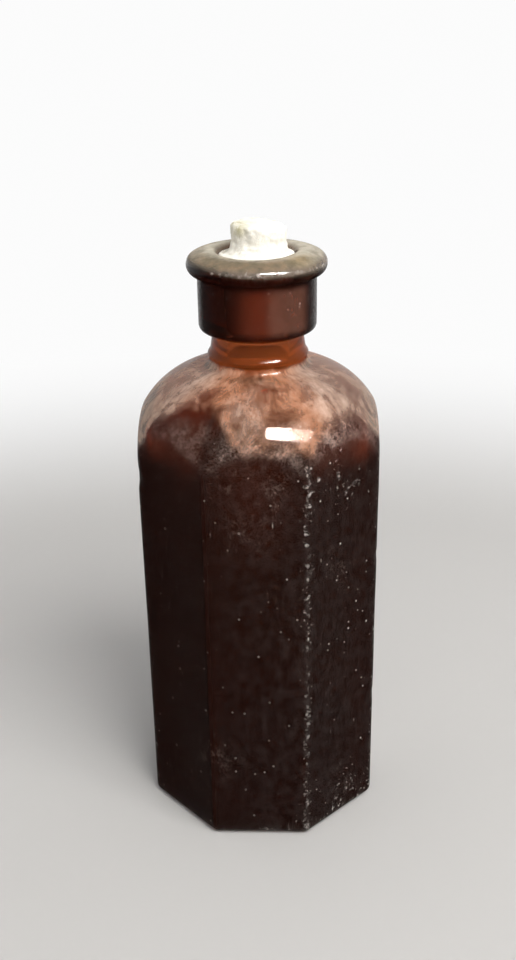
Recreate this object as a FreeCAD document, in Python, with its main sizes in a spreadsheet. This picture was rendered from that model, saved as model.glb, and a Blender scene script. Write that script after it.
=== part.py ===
import FreeCAD, Part

import math
import os

import Sketcher

# Octagonal glass bottle with a domed shoulder, a tooled collar-and-bead finish and a worn cork.
# Millimetres, +Z up, origin at the middle of the base, one facet facing -Y.

# Driving dimensions
DIMENSIONS = {
    # Outside of the octagonal body
    "across_flats": 50.0,
    "corner_round": 1.8,
    "heel_round": 2.2,
    "push_up_radius": 17.0,
    "push_up_flat": 7.0,
    "push_up_depth": 2.2,
    # Shoulder dome that cuts the eight facets into arched panels
    "shoulder_start": 84.5,
    "shoulder_round": 18.25,
    # Neck, collar and bead; heights are above the base
    "neck_root_radius": 11.3,
    "neck_root": 96.0,
    "neck_top_radius": 9.3,
    "neck_fillet": 1.6,
    "collar_bottom": 110.0,
    "collar_radius": 12.05,
    "collar_round": 1.3,
    "collar_droop": 0.6,
    "bead_bottom": 121.3,
    "bead_middle": 123.5,
    "bead_radius": 14.18,
    "bead_round": 2.2,
    "lip_height": 126.28,
    "lip_radius": 9.8,
    "lip_round": 6.56,
    "lip_inner_radius": 6.5,
    "lip_inner_height": 125.39,
    # Inside of the glass
    "wall": 4.0,
    "inner_round": 5.0,
    "floor_thickness": 6.0,
    "floor_bevel": 3.0,
    "shoulder_wall": 3.4,
    "bore_radius": 6.4,
    "bore_bottom": 96.0,
    "seat_bottom": 108.0,
    "seat_top": 123.4,
    "seat_top_radius": 7.3,
    "flare_round": 3.5,
    "flare_radius": 9.175,
    "flare_top": 126.5,
    "mouth_bevel": 0.3,
    # Cork: a tapered plug in the seat, and the worn stub that stands on it
    "cork_gap": 0.08,
    "cork_bottom": 110.0,
    "cork_bottom_bevel": 0.8,
    "cork_rim_radius": 7.42,
    "cork_rim_height": 125.3,
    "cork_rim_bevel": 0.25,
    "stub_offset": 0.45,
    "stub_foot_radius": 5.95,
    "stub_foot_height": 122.5,
    "stub_waist_radius": 5.6,
    "stub_waist_height": 127.6,
    "stub_top_radius": 5.75,
    "stub_top_height": 131.7,
    "stub_top_bevel": 0.8,
    "stub_top_fall": 0.9,
    "trench_inner_radius": 5.3,
    "trench_outer_radius": 6.15,
    "trench_depth": 1.6,
    "trench_sweep": 150.0,
}

# An octagon's half side is this share of its apothem, and its corners lie this much further out.
HALF_SIDE = math.tan(math.pi / 8)
CORNER_REACH = 1 / math.cos(math.pi / 8)

# Legs of right triangles with a long side of 1 and a corner of 30 degrees, or of 45 degrees.
LONG_LEG = math.cos(math.pi / 6)
SHORT_LEG = math.sin(math.pi / 6)
EVEN_LEG = math.sin(math.pi / 4)

doc = FreeCAD.newDocument("reagent_bottle")
sheet = doc.addObject("Spreadsheet::Sheet", "Dims")
for row, (alias, number) in enumerate(DIMENSIONS.items(), start=1):
    sheet.set(f"A{row}", alias)
    sheet.set(f"B{row}", str(number))
    sheet.setAlias(f"B{row}", alias)
doc.recompute()


class Size:
    """A length that carries both its number and the sheet expression that drives it."""

    def __init__(self, number, text):
        self.number = number
        self.text = text

    def __add__(self, other):
        other = as_size(other)
        return Size(self.number + other.number, f"({self.text} + {other.text})")

    def __sub__(self, other):
        other = as_size(other)
        return Size(self.number - other.number, f"({self.text} - {other.text})")

    def __mul__(self, other):
        other = as_size(other)
        return Size(self.number * other.number, f"({self.text} * {other.text})")

    def __truediv__(self, other):
        other = as_size(other)
        return Size(self.number / other.number, f"({self.text} / {other.text})")


def as_size(thing):
    """Plain numbers become sizes with a constant expression."""
    if isinstance(thing, Size):
        return thing
    return Size(float(thing), f"{float(thing):.9f}")


def dim(alias):
    """The size held in one cell of the sheet."""
    return Size(float(sheet.get(alias)), f"Dims.{alias}")


ZERO = as_size(0)


def plane_of(body, role):
    """One of the body's own origin planes."""
    for feature in body.Origin.OriginFeatures:
        if feature.Role == role:
            return feature
    raise RuntimeError(f"{body.Label} has no {role}")


def new_sketch(body, name, role):
    """An empty sketch on one of the body's origin planes."""
    sketch = body.newObject("Sketcher::SketchObject", name)
    sketch.AttachmentSupport = [(plane_of(body, role), "")]
    sketch.MapMode = "FlatFace"
    return sketch


def bind(sketch, constraint, size):
    """Add a dimension to a sketch and drive it from the sheet."""
    index = sketch.addConstraint(constraint)
    sketch.setExpression(f"Constraints[{index}]", size.text)


def place_corner(sketch, geometry, end, across, up):
    """Hold one end of a line or arc at its distances from the sketch's axes."""
    if across is ZERO:
        sketch.addConstraint(Sketcher.Constraint("PointOnObject", geometry, end, -2))
    else:
        bind(sketch, Sketcher.Constraint("DistanceX", -1, 1, geometry, end, across.number), across)
    if up is ZERO:
        sketch.addConstraint(Sketcher.Constraint("PointOnObject", geometry, end, -1))
    else:
        bind(sketch, Sketcher.Constraint("DistanceY", -1, 1, geometry, end, up.number), up)


def arc_between(start, finish, radius, turn):
    """Arc of under half a circle; turn is 1 if it bends to the left on the way and -1 to the right."""
    chord = finish - start
    left = FreeCAD.Vector(-chord.y, chord.x, 0).normalize()
    reach = math.sqrt(radius ** 2 - (chord.Length / 2) ** 2)
    centre = (start + finish) / 2 + left * reach * turn
    first = math.atan2(start.y - centre.y, start.x - centre.x)
    last = math.atan2(finish.y - centre.y, finish.x - centre.x)
    if turn < 0:
        first, last = last, first
    circle = Part.Circle(centre, FreeCAD.Vector(0, 0, 1), radius)
    return Part.ArcOfCircle(circle, first, last)


def draw_outline(sketch, corners):
    """Closed outline. Each corner is (across, up, side): side is None for a straight line on to the
    next corner, or (radius, turn) for an arc."""
    points = [FreeCAD.Vector(across.number, up.number, 0) for across, up, side in corners]
    pieces = []
    for index, (across, up, side) in enumerate(corners):
        start = points[index]
        finish = points[(index + 1) % len(points)]
        if side is None:
            geometry = sketch.addGeometry(Part.LineSegment(start, finish))
            pieces.append((geometry, 1, 2))
            continue
        radius, turn = side
        geometry = sketch.addGeometry(arc_between(start, finish, radius.number, turn))
        pieces.append((geometry, 1, 2) if turn > 0 else (geometry, 2, 1))
    for index, (geometry, first, last) in enumerate(pieces):
        following, following_first, unused = pieces[(index + 1) % len(pieces)]
        meeting = Sketcher.Constraint("Coincident", geometry, last, following, following_first)
        sketch.addConstraint(meeting)
    for (across, up, side), (geometry, first, last) in zip(corners, pieces):
        place_corner(sketch, geometry, first, across, up)
        if side is not None:
            bind(sketch, Sketcher.Constraint("Radius", geometry, side[0].number), side[0])


def draw_octagon(sketch, apothem):
    """Regular octagon round the origin with a side square to -Y: equal sides on a guide circle."""
    reach = apothem.number * CORNER_REACH
    angles = [math.radians(-112.5 + 45 * step) for step in range(8)]
    points = [FreeCAD.Vector(reach * math.cos(angle), reach * math.sin(angle), 0) for angle in angles]
    sides = []
    for step in range(8):
        sides.append(sketch.addGeometry(Part.LineSegment(points[step], points[(step + 1) % 8])))
    up = FreeCAD.Vector(0, 0, 1)
    guide = sketch.addGeometry(Part.Circle(FreeCAD.Vector(0, 0, 0), up, reach), True)
    sketch.addConstraint(Sketcher.Constraint("Coincident", guide, 3, -1, 1))
    for step in range(8):
        following = sides[(step + 1) % 8]
        sketch.addConstraint(Sketcher.Constraint("Coincident", sides[step], 2, following, 1))
        sketch.addConstraint(Sketcher.Constraint("PointOnObject", sides[step], 1, guide))
    for side in sides[1:]:
        sketch.addConstraint(Sketcher.Constraint("Equal", sides[0], side))
    sketch.addConstraint(Sketcher.Constraint("Horizontal", sides[0]))
    half_side = apothem * HALF_SIDE
    bind(sketch, Sketcher.Constraint("DistanceX", -1, 1, sides[0], 2, half_side.number), half_side)


def pad(body, name, sketch, length):
    """Extrude a sketch upwards."""
    feature = body.newObject("PartDesign::Pad", name)
    feature.Profile = sketch
    feature.setExpression("Length", length.text)
    doc.recompute()
    return feature


def turn_about_z(body, kind, name, sketch, angle=None):
    """Revolution or groove of a sketch about its upright axis: a full turn, or a sweep centred on it."""
    feature = body.newObject(kind, name)
    feature.Profile = sketch
    feature.ReferenceAxis = (sketch, ["V_Axis"])
    feature.Angle = 360
    if angle is not None:
        feature.setExpression("Angle", angle.text)
        feature.Midplane = True
    doc.recompute()
    return feature


def dress_edges(body, kind, name, base, wanted, size):
    """Fillet or chamfer every edge of the base feature that the test picks."""
    edges = enumerate(base.Shape.Edges, start=1)
    names = [f"Edge{index}" for index, edge in edges if wanted(edge)]
    if not names:
        raise RuntimeError(f"no edge for {name}")
    feature = body.newObject(kind, name)
    feature.Base = (base, names)
    feature.setExpression("Radius" if kind == "PartDesign::Fillet" else "Size", size.text)
    doc.recompute()
    return feature


def round_edges(body, name, base, wanted, radius):
    """Fillet the edges that the test picks."""
    return dress_edges(body, "PartDesign::Fillet", name, base, wanted, radius)


def bevel_edges(body, name, base, wanted, size):
    """Chamfer the edges that the test picks."""
    return dress_edges(body, "PartDesign::Chamfer", name, base, wanted, size)


def is_upright(edge):
    """An edge that runs along Z."""
    box = edge.BoundBox
    return box.XLength < 1e-6 and box.YLength < 1e-6


def lies_at(height):
    """Test for edges that lie flat at one height."""

    def wanted(edge):
        box = edge.BoundBox
        return abs(box.ZMin - height) < 1e-4 and abs(box.ZMax - height) < 1e-4

    return wanted


def is_ring(radius, height, slack):
    """Test for level circles about the bottle's axis near one radius and height."""

    def wanted(edge):
        box = edge.BoundBox
        level = box.ZLength < 1e-3 and abs(box.ZMin - height) < slack
        return level and abs(box.XMax - radius) < slack and abs(box.XMin + radius) < slack

    return wanted


def must_change(feature, before, sign, what):
    """A feature has to add volume (sign 1) or take it away (sign -1)."""
    change = feature.Shape.Volume - before
    if change * sign <= 0:
        raise RuntimeError(f"{what} changed the volume by {change:.3f}")


def shoulder_cut(body, name, base, arc_radius, start_radius, start_height, top_height, side):
    """Turn away everything outside the shoulder's quarter arc, from the arc's start to above the body.

    The quarter is drawn in three spans of 30 degrees; side says how each span is drawn."""
    centre_radius = start_radius - arc_radius
    clear_radius = start_radius + 6
    sketch = new_sketch(body, f"{name}_profile", "XZ_Plane")
    draw_outline(sketch, [
        (start_radius, start_height, side),
        (centre_radius + arc_radius * LONG_LEG, start_height + arc_radius * SHORT_LEG, side),
        (centre_radius + arc_radius * SHORT_LEG, start_height + arc_radius * LONG_LEG, side),
        (centre_radius, start_height + arc_radius, None),
        (centre_radius, top_height, None),
        (clear_radius, top_height, None),
        (clear_radius, start_height, None),
    ])
    before = base.Shape.Volume
    groove = turn_about_z(body, "PartDesign::Groove", name, sketch)
    must_change(groove, before, -1, name)
    return groove


# Outside of the glass: octagonal prism with rounded upright edges
outer = doc.addObject("PartDesign::Body", "glass_bottle")
outer.Label = "glass_bottle"
apothem = dim("across_flats") / 2
shoulder_reach = apothem * CORNER_REACH
shoulder_top = dim("shoulder_start") + dim("shoulder_round")

plan = new_sketch(outer, "body_plan", "XY_Plane")
draw_octagon(plan, apothem)
prism = pad(outer, "body_prism", plan, shoulder_top + 3)
edged = round_edges(outer, "body_corners", prism, is_upright, dim("corner_round"))

# The dome of the shoulder leaves an arched top on each facet
shoulder = shoulder_cut(outer, "shoulder_dome", edged, dim("shoulder_round"), shoulder_reach,
                        dim("shoulder_start"), shoulder_top + 6, (dim("shoulder_round"), 1))
heel = round_edges(outer, "heel", shoulder, lies_at(0), dim("heel_round"))

# Shallow push-up under the base, so that the bottle stands on an octagonal ring
hollow = new_sketch(outer, "push_up_profile", "XZ_Plane")
draw_outline(hollow, [
    (ZERO, ZERO, None),
    (dim("push_up_radius"), ZERO, None),
    (dim("push_up_flat"), dim("push_up_depth"), None),
    (ZERO, dim("push_up_depth"), None),
])
push_up = turn_about_z(outer, "PartDesign::Groove", "push_up", hollow)
must_change(push_up, heel.Shape.Volume, -1, "push_up")

# Neck, collar and rolled bead, turned in one piece on the shoulder
collar_turn = (dim("collar_round"), 1)
collar_inset = dim("collar_round") * (1 - EVEN_LEG)
bead_turn = (dim("bead_round"), 1)
bead_belly = dim("bead_radius") - dim("bead_round") * (1 - EVEN_LEG)
bead_crown = dim("bead_radius") - dim("bead_round") * (1 - SHORT_LEG)
lip_turn = (dim("lip_round"), 1)
finish = new_sketch(outer, "finish_profile", "XZ_Plane")
draw_outline(finish, [
    (ZERO, dim("neck_root"), None),
    (dim("neck_root_radius"), dim("neck_root"), None),
    (dim("neck_top_radius"), dim("collar_bottom") - dim("collar_droop"), None),
    (dim("collar_radius") - dim("collar_round"), dim("collar_bottom"), collar_turn),
    (dim("collar_radius") - collar_inset, dim("collar_bottom") + collar_inset, collar_turn),
    (dim("collar_radius"), dim("collar_bottom") + dim("collar_round"), None),
    (dim("collar_radius"), dim("bead_bottom"), bead_turn),
    (bead_belly, dim("bead_middle") - dim("bead_round") * EVEN_LEG, bead_turn),
    (dim("bead_radius"), dim("bead_middle"), bead_turn),
    (bead_crown, dim("bead_middle") + dim("bead_round") * LONG_LEG, lip_turn),
    (dim("lip_radius"), dim("lip_height"), lip_turn),
    (dim("lip_inner_radius"), dim("lip_inner_height"), None),
    (ZERO, dim("lip_inner_height"), None),
])
neck = turn_about_z(outer, "PartDesign::Revolution", "neck_collar_bead", finish)
must_change(neck, push_up.Shape.Volume, 1, "neck_collar_bead")
neck_ring = is_ring(10.3, shoulder_top.number, 0.4)
neck_foot = round_edges(outer, "neck_foot", neck, neck_ring, dim("neck_fillet"))

# Inside of the glass: an octagon with softer corners, a dome of three cones and a bevelled floor edge
cavity = doc.addObject("PartDesign::Body", "cavity")
cavity.Label = "cavity"
inner_apothem = apothem - dim("wall")
inner_reach = shoulder_reach - dim("shoulder_wall")
inner_arc = dim("shoulder_round") - dim("shoulder_wall")

inner_plan = new_sketch(cavity, "cavity_plan", "XY_Plane")
draw_octagon(inner_plan, inner_apothem)
inner_plan.setExpression("AttachmentOffset.Base.z", dim("floor_thickness").text)
inner_prism = pad(cavity, "cavity_prism", inner_plan,
                  dim("shoulder_start") + inner_arc - dim("floor_thickness") - 0.05)
inner_edged = round_edges(cavity, "cavity_corners", inner_prism, is_upright, dim("inner_round"))
inner_dome = shoulder_cut(cavity, "cavity_dome", inner_edged, inner_arc, inner_reach,
                          dim("shoulder_start"), shoulder_top + 6, None)
inner_floor = bevel_edges(cavity, "cavity_floor", inner_dome, lies_at(dim("floor_thickness").number),
                          dim("floor_bevel"))

# Neck bore, tapered cork seat and flared mouth
bore = new_sketch(cavity, "bore_profile", "XZ_Plane")
draw_outline(bore, [
    (ZERO, dim("bore_bottom"), None),
    (dim("bore_radius"), dim("bore_bottom"), None),
    (dim("bore_radius"), dim("seat_bottom"), None),
    (dim("seat_top_radius"), dim("seat_top"), (dim("flare_round"), -1)),
    (dim("flare_radius"), dim("flare_top"), None),
    (ZERO, dim("flare_top"), None),
])
bored = turn_about_z(cavity, "PartDesign::Revolution", "bore_and_mouth", bore)
must_change(bored, inner_floor.Shape.Volume, 1, "bore_and_mouth")

# Hollow the glass, then take the sharp edge off the mouth
hollowed = outer.newObject("PartDesign::Boolean", "hollowed")
hollowed.setObjects([cavity])
hollowed.Type = "Cut"
doc.recompute()
must_change(hollowed, neck_foot.Shape.Volume, -1, "hollowed")
mouth_ring = is_ring(8.65, 126.15, 0.3)
mouth = bevel_edges(outer, "mouth_edge", hollowed, mouth_ring, dim("mouth_bevel"))
outer.Tip = mouth

# Cork plug that follows the taper of its seat with a small gap and spreads a little in the mouth
cork = doc.addObject("PartDesign::Body", "cork_stopper")
cork.Label = "cork_stopper"
seat_slope = (dim("seat_top_radius") - dim("bore_radius")) / (dim("seat_top") - dim("seat_bottom"))


def plug_radius(height):
    """Radius of the cork at a height within the tapered seat."""
    return dim("bore_radius") + (height - dim("seat_bottom")) * seat_slope - dim("cork_gap")


plug_side_start = dim("cork_bottom") + dim("cork_bottom_bevel")
plug_top_radius = plug_radius(dim("seat_top"))
plug_profile = new_sketch(cork, "plug_profile", "XZ_Plane")
draw_outline(plug_profile, [
    (ZERO, dim("cork_bottom"), None),
    (plug_radius(plug_side_start) - dim("cork_bottom_bevel"), dim("cork_bottom"), None),
    (plug_radius(plug_side_start), plug_side_start, None),
    (plug_top_radius, dim("seat_top"), None),
    (dim("cork_rim_radius"), dim("cork_rim_height") - dim("cork_rim_bevel"), None),
    (dim("cork_rim_radius") - dim("cork_rim_bevel"), dim("cork_rim_height"), None),
    (ZERO, dim("cork_rim_height"), None),
])
plug = turn_about_z(cork, "PartDesign::Revolution", "plug", plug_profile)

# Trench where the rim has crumbled away beside the stub, on the -X side
trench_profile = new_sketch(cork, "trench_profile", "XZ_Plane")
half_turn = FreeCAD.Rotation(FreeCAD.Vector(0, 1, 0), 180)
trench_profile.AttachmentOffset = FreeCAD.Placement(FreeCAD.Vector(0, 0, 0), half_turn)
draw_outline(trench_profile, [
    (dim("trench_inner_radius"), dim("cork_rim_height") + 1, None),
    (dim("trench_inner_radius"), dim("cork_rim_height") - dim("trench_depth"), None),
    (dim("trench_outer_radius"), dim("cork_rim_height"), None),
    (dim("trench_outer_radius"), dim("cork_rim_height") + 1, None),
])
trench = turn_about_z(cork, "PartDesign::Groove", "trench", trench_profile, dim("trench_sweep"))
must_change(trench, plug.Shape.Volume, -1, "trench")


def stub_section(name, radius, height):
    """One level circle of the stub, set off the bottle's axis."""
    sketch = new_sketch(cork, name, "XY_Plane")
    sketch.setExpression("AttachmentOffset.Base.z", height.text)
    offset = dim("stub_offset")
    centre = FreeCAD.Vector(offset.number, 0, 0)
    circle = sketch.addGeometry(Part.Circle(centre, FreeCAD.Vector(0, 0, 1), radius.number))
    bind(sketch, Sketcher.Constraint("Radius", circle, radius.number), radius)
    place_corner(sketch, circle, 3, offset, ZERO)
    return sketch


# Worn stub: waisted loft, cut to a top that slopes to the +X side, with a soft edge
stub = cork.newObject("PartDesign::AdditiveLoft", "stub")
stub.Profile = stub_section("stub_foot", dim("stub_foot_radius"), dim("stub_foot_height"))
stub.Sections = [
    stub_section("stub_waist", dim("stub_waist_radius"), dim("stub_waist_height")),
    stub_section("stub_top", dim("stub_top_radius"), dim("stub_top_height")),
]
stub.Ruled = True
doc.recompute()
must_change(stub, trench.Shape.Volume, 1, "stub")

slope_reach = dim("stub_top_radius") * 2
slope = new_sketch(cork, "slope_profile", "XZ_Plane")
draw_outline(slope, [
    (ZERO, dim("stub_top_height"), None),
    (slope_reach, dim("stub_top_height") - dim("stub_top_fall") * 2, None),
    (slope_reach, dim("stub_top_height") + 2, None),
    (ZERO, dim("stub_top_height") + 2, None),
])
sloped = cork.newObject("PartDesign::Pocket", "sloping_top")
sloped.Profile = slope
sloped.Midplane = True
sloped.setExpression("Length", (slope_reach * 2).text)
doc.recompute()
must_change(sloped, stub.Shape.Volume, -1, "sloping_top")


def is_top_rim(edge):
    """The outer edges of the stub's top, not the ridge across it."""
    box = edge.BoundBox
    return box.ZMin > dim("stub_top_height").number - 2 and edge.Curve.TypeId != "Part::GeomLine"


worn = bevel_edges(cork, "stub_edge", sloped, is_top_rim, dim("stub_top_bevel"))
cork.Tip = worn

# Nothing is written unless every object and both solids are sound
for thing in doc.Objects:
    if "Invalid" in thing.State or "Error" in thing.State:
        raise RuntimeError(f"{thing.Label} failed: {thing.State}")
pieces = [outer, cork]
for piece in pieces:
    shape = piece.Shape
    if shape.isNull() or not shape.isValid() or len(shape.Solids) != 1:
        raise RuntimeError(f"{piece.Label} isn't one sound solid")

os.makedirs("parts", exist_ok=True)
for piece in pieces:
    piece.Shape.exportStep(f"parts/{piece.Label}.step")
    box = piece.Shape.optimalBoundingBox(True, False)
    volume = piece.Shape.Volume / 1000
    print(f"{piece.Label}: volume {volume:.2f} mL, height {box.ZMin:.2f} to {box.ZMax:.2f} mm")
print(f"inside: {cavity.Shape.Volume / 1000:.1f} mL to the brim")
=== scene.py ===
"""Octagonal amber reagent bottle with a worn cork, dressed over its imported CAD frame."""

import math

import bpy
import numpy as np
from bpy.props import FloatProperty, FloatVectorProperty, PointerProperty
from bpy.types import Operator, Panel, PropertyGroup
from mathutils import Matrix, Quaternion, Vector


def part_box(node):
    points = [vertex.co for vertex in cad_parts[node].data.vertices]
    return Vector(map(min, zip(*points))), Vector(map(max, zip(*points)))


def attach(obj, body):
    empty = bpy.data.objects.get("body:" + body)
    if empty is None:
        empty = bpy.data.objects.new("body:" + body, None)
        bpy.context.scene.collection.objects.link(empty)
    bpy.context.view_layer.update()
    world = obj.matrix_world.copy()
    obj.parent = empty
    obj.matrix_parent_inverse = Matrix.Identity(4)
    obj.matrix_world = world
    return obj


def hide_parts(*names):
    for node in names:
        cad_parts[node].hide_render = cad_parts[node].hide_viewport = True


bl_info = {
    "name": "Reagent bottle",
    "version": (1, 0, 0),
    "blender": (4, 5, 0),
    "location": "3D View > Sidebar > Reagent bottle",
    "description": "Builds an octagonal amber glass bottle with its dust, its cork and a plain stage",
    "category": "Object",
}

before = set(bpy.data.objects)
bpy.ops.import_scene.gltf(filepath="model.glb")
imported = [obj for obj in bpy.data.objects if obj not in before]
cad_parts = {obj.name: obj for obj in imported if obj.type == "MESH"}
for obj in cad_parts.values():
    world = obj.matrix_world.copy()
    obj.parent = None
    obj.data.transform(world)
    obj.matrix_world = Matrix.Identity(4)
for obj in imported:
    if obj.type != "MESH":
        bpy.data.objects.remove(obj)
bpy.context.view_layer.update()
GLASS_LOW, GLASS_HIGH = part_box("glass_bottle")
CORK_LOW, CORK_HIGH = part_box("cork_stopper")

EIGHTH_TURN = math.pi / 4
HALF_SIDE_ANGLE = math.pi / 8
MM = 0.001

# Fixed points of the glass that its settings leave alone, as radii and heights
HOLLOW_RADIUS = 17.0 * MM
SMALLEST_CORNER = 0.4 * MM
INSIDE_CORNER = 5.0 * MM
SHOULDER_WALL = 3.4 * MM
NECK_FOOT = (11.3 * MM, 96.0 * MM)
NECK_TOP = (9.3 * MM, 109.4 * MM)
COLLAR_ROUND = 1.3 * MM
COLLAR_ROUND_HEIGHT = 111.3 * MM
BEAD_ROUND = 2.2 * MM
BEAD_HEIGHT = 123.5 * MM
CROWN_MIDDLE = 9.8 * MM
CROWN_ROUND = 6.56 * MM
FLARE_MIDDLE = 10.8 * MM
FLARE_ROUND = 3.5 * MM
SEAT_TOP = 123.4 * MM
SEAT_FOOT = 108.0 * MM
TOOL_MARK_HEIGHT = 105.2 * MM
TOOL_MARK_WIDTH = 0.55 * MM

# Chips in the upright edges: direction in degrees, height in mm, share of the chip depth, half height in mm.
# Reach of the edges from the axis and half width of the chips, in mm
CORNER_REACH = 26.9
CHIP_HALF_WIDTH = 1.3
EDGE_CHIPS = ((-157.5, 81.0, 1.0, 1.5), (-22.5, 63.0, 0.4, 0.8), (-67.5, 47.0, 0.3, 0.7),
              (-22.5, 28.0, 0.45, 0.9))

# Dust round the shoulder, as pairs of a direction in degrees and a value: the lower limit of the haze in mm,
# how dense the haze is, and the strength of the bloom over the arches
HAZE_LIMIT = (
    (-180, 88.0), (-163, 87.5), (-156, 88.5), (-151, 91.5), (-148, 95.5), (-138, 98.0), (-127, 99.6),
    (-117, 100.2), (-110, 99.0), (-104, 96.5), (-100, 93.7), (-96, 92.9), (-84, 92.3), (-70, 92.8),
    (-64, 91.8), (-61, 93.4), (-57, 94.8), (-47, 96.4), (-35, 95.9), (-28, 94.0), (-24, 91.5), (-19, 89.5),
    (-10, 88.0), (0, 88.0), (30, 90.0), (60, 94.0), (90, 96.0), (120, 95.0), (150, 91.0))
HAZE_DENSITY = ((-180, 0.95), (-140, 1.1), (-112, 1.0), (-92, 0.8), (-68, 1.25), (-40, 0.95), (-10, 0.8),
                (90, 1.0))
BLOOM_STRENGTH = ((-180, 0.2), (-125, 0.25), (-106, 0.7), (-80, 0.9), (-62, 0.6), (-35, 0.5), (0, 0.3),
                  (90, 0.3))

# Middles of spots on the outside of the glass, in mm
PALE_SMEARS = ((-2.6, -21.6, 97.3), (-1.5, -19.5, 99.2), (13.2, -12.5, 100.2), (10.7, -9.6, 101.9),
               (14.6, -15.2, 98.0), (-14.5, -11.0, 100.1), (-11.4, -9.1, 101.8))
BLOOM_SPOTS = ((-15.1, -19.1, 94.1), (-10.6, -21.3, 94.9), (14.5, -20.2, 93.2), (17.5, -16.7, 94.4))
WISPS = ((0.9, -25.0, 82.0), (6.0, -25.0, 88.4), (-1.7, -25.0, 74.5), (-5.0, -25.0, 87.0),
         (16.5, -18.6, 64.0), (18.5, -16.9, 9.0), (-9.7, -25.0, 20.5))
# Middles of the painted red glow on the shoulder's sides
RED_GLOW_LOBES = ((-20.1, -15.2, 90.2), (21.1, -14.3, 89.2))
HIGHLIGHT = (5.5, -22.3, 95.8)
SHOULDER_FRONT = (2.4, -14.3, 101.8)
LIP_STAIN = (8.6, -7.5, 126.0)

# Clusters of flecks: middle and reach in mm
FLECK_CLUSTERS = (((15.0, -20.4, 85.9), 4.5), ((19.1, -16.2, 81.5), 4.0), ((19.0, -16.4, 7.5), 5.0),
                  ((8.2, -8.9, 116.5), 3.2))

# Flecks and rubbed lines on the eight upright edges, from the right front edge round by the right to the left
# front edge
EDGE_FLECKS = np.array([1.0, 0.5, 0.6, 0.7, 0.55, 0.7, 0.45, 0.15])
EDGE_RUBS = np.array([0.2, 0.5, 1.0, 1.0, 1.0, 1.0, 0.6, 0.0])
LEFT_FRONT_EDGE = 7

# The film starts above the standing ring and ends inside the mouth: first row, and rows past the outside
FILM_FIRST_ROW = 20
FILM_ROWS_INSIDE = 2

# Stage: the floor lies just below the base, the lamps look at the shoulder, and the camera has the place and
# the axes that were fitted to the outlines
FLOOR_DROP = 0.06 * MM
LAMP_AIM = (0.0, 0.0, 0.09)
CAMERA_PLACE = (0.0090632, -0.2184075, 0.171655)
CAMERA_RIGHT = (0.999202, 0.036847, -0.015388)
CAMERA_UP = (-0.000700, 0.401470, 0.915872)
CAMERA_BACK = (0.039925, -0.915131, 0.401176)


def length(name, description, default):
    """A length property in metres."""
    return FloatProperty(name=name, description=description, default=default, min=0.0, max=2.0,
                         precision=5, subtype="DISTANCE", unit="LENGTH")


def share(name, description, default):
    """A factor property between zero and one."""
    return FloatProperty(name=name, description=description, default=default, min=0.0, max=1.0,
                         subtype="FACTOR")


def colour(name, description, default):
    """A colour property, in linear light."""
    return FloatVectorProperty(name=name, description=description, default=default, size=3, min=0.0, max=1.0,
                               subtype="COLOR")


class GlassSettings(PropertyGroup):
    """Sizes and colours of the moulded glass."""

    across_flats: length("Across flats", "Width of the body between opposite facets",
                         GLASS_HIGH.x - GLASS_LOW.x)
    lip_height: length("Lip height", "Height of the rolled lip above the base", GLASS_HIGH.z)
    corner_round: length("Corner round", "Radius of the eight upright edges", 1.8 * MM)
    heel_round: length("Heel round", "Radius of the edge round the base", 2.2 * MM)
    push_up_depth: length("Push-up depth", "Depth of the hollow under the base", 2.2 * MM)
    shoulder_start: length("Shoulder start", "Height where the dome of the shoulder begins", 84.5 * MM)
    shoulder_round: length("Shoulder round", "Radius of the dome's profile", 18.25 * MM)
    crease: length("Crease", "Width over which the dome melts into the facets", 0.9 * MM)
    neck_fillet: length("Neck fillet", "Radius where the neck stands on the shoulder", 1.6 * MM)
    collar_radius: length("Collar radius", "Radius of the band below the lip", 12.05 * MM)
    bead_radius: length("Bead radius", "Radius of the rolled lip", 14.18 * MM)
    wall: length("Wall", "Thickness of the glass behind a facet", 4.0 * MM)
    floor_thickness: length("Floor thickness", "Height of the inside floor", 6.0 * MM)
    bore_radius: length("Bore radius", "Radius of the passage through the neck", 6.4 * MM)
    seat_top_radius: length("Seat top radius", "Radius of the cork's seat at its top", 7.3 * MM)
    outer_ripple: length("Outer ripple", "Height of the waves in the outer skin", 0.04 * MM)
    inner_ripple: length("Inner ripple", "Height of the waves in the inner skin", 0.3 * MM)
    chip_depth: length("Chip depth", "Depth of the chip in the left upright edge", 0.65 * MM)
    lip_dip: length("Lip dip", "How far the hand-tooled lip sinks at the front", 0.5 * MM)
    neck_ridge: length("Neck ridge", "Height of the tool mark round the neck", 0.45 * MM)
    absorbed: colour("Absorption colour", "Colour that the glass lets through", (0.76, 0.403, 0.059))
    absorption: FloatProperty(name="Absorption", description="Absorption in one metre of glass",
                              default=560.0, min=0.0)
    # Painted shade: darker base colours on the body and the collar than on the shoulder and the neck
    body_shade_tint: colour("Body tint", "Tint of the thick body", (0.26, 0.30, 0.35))
    neck_tint: colour("Neck tint", "Tint of the neck and the lip", (1.0, 1.0, 1.0))
    collar_shade_tint: colour("Collar tint", "Tint of the band below the lip", (0.45, 0.45, 0.5))
    shoulder_tint: colour("Shoulder tint", "Tint of the shoulder", (0.62, 0.46, 0.36))


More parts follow.
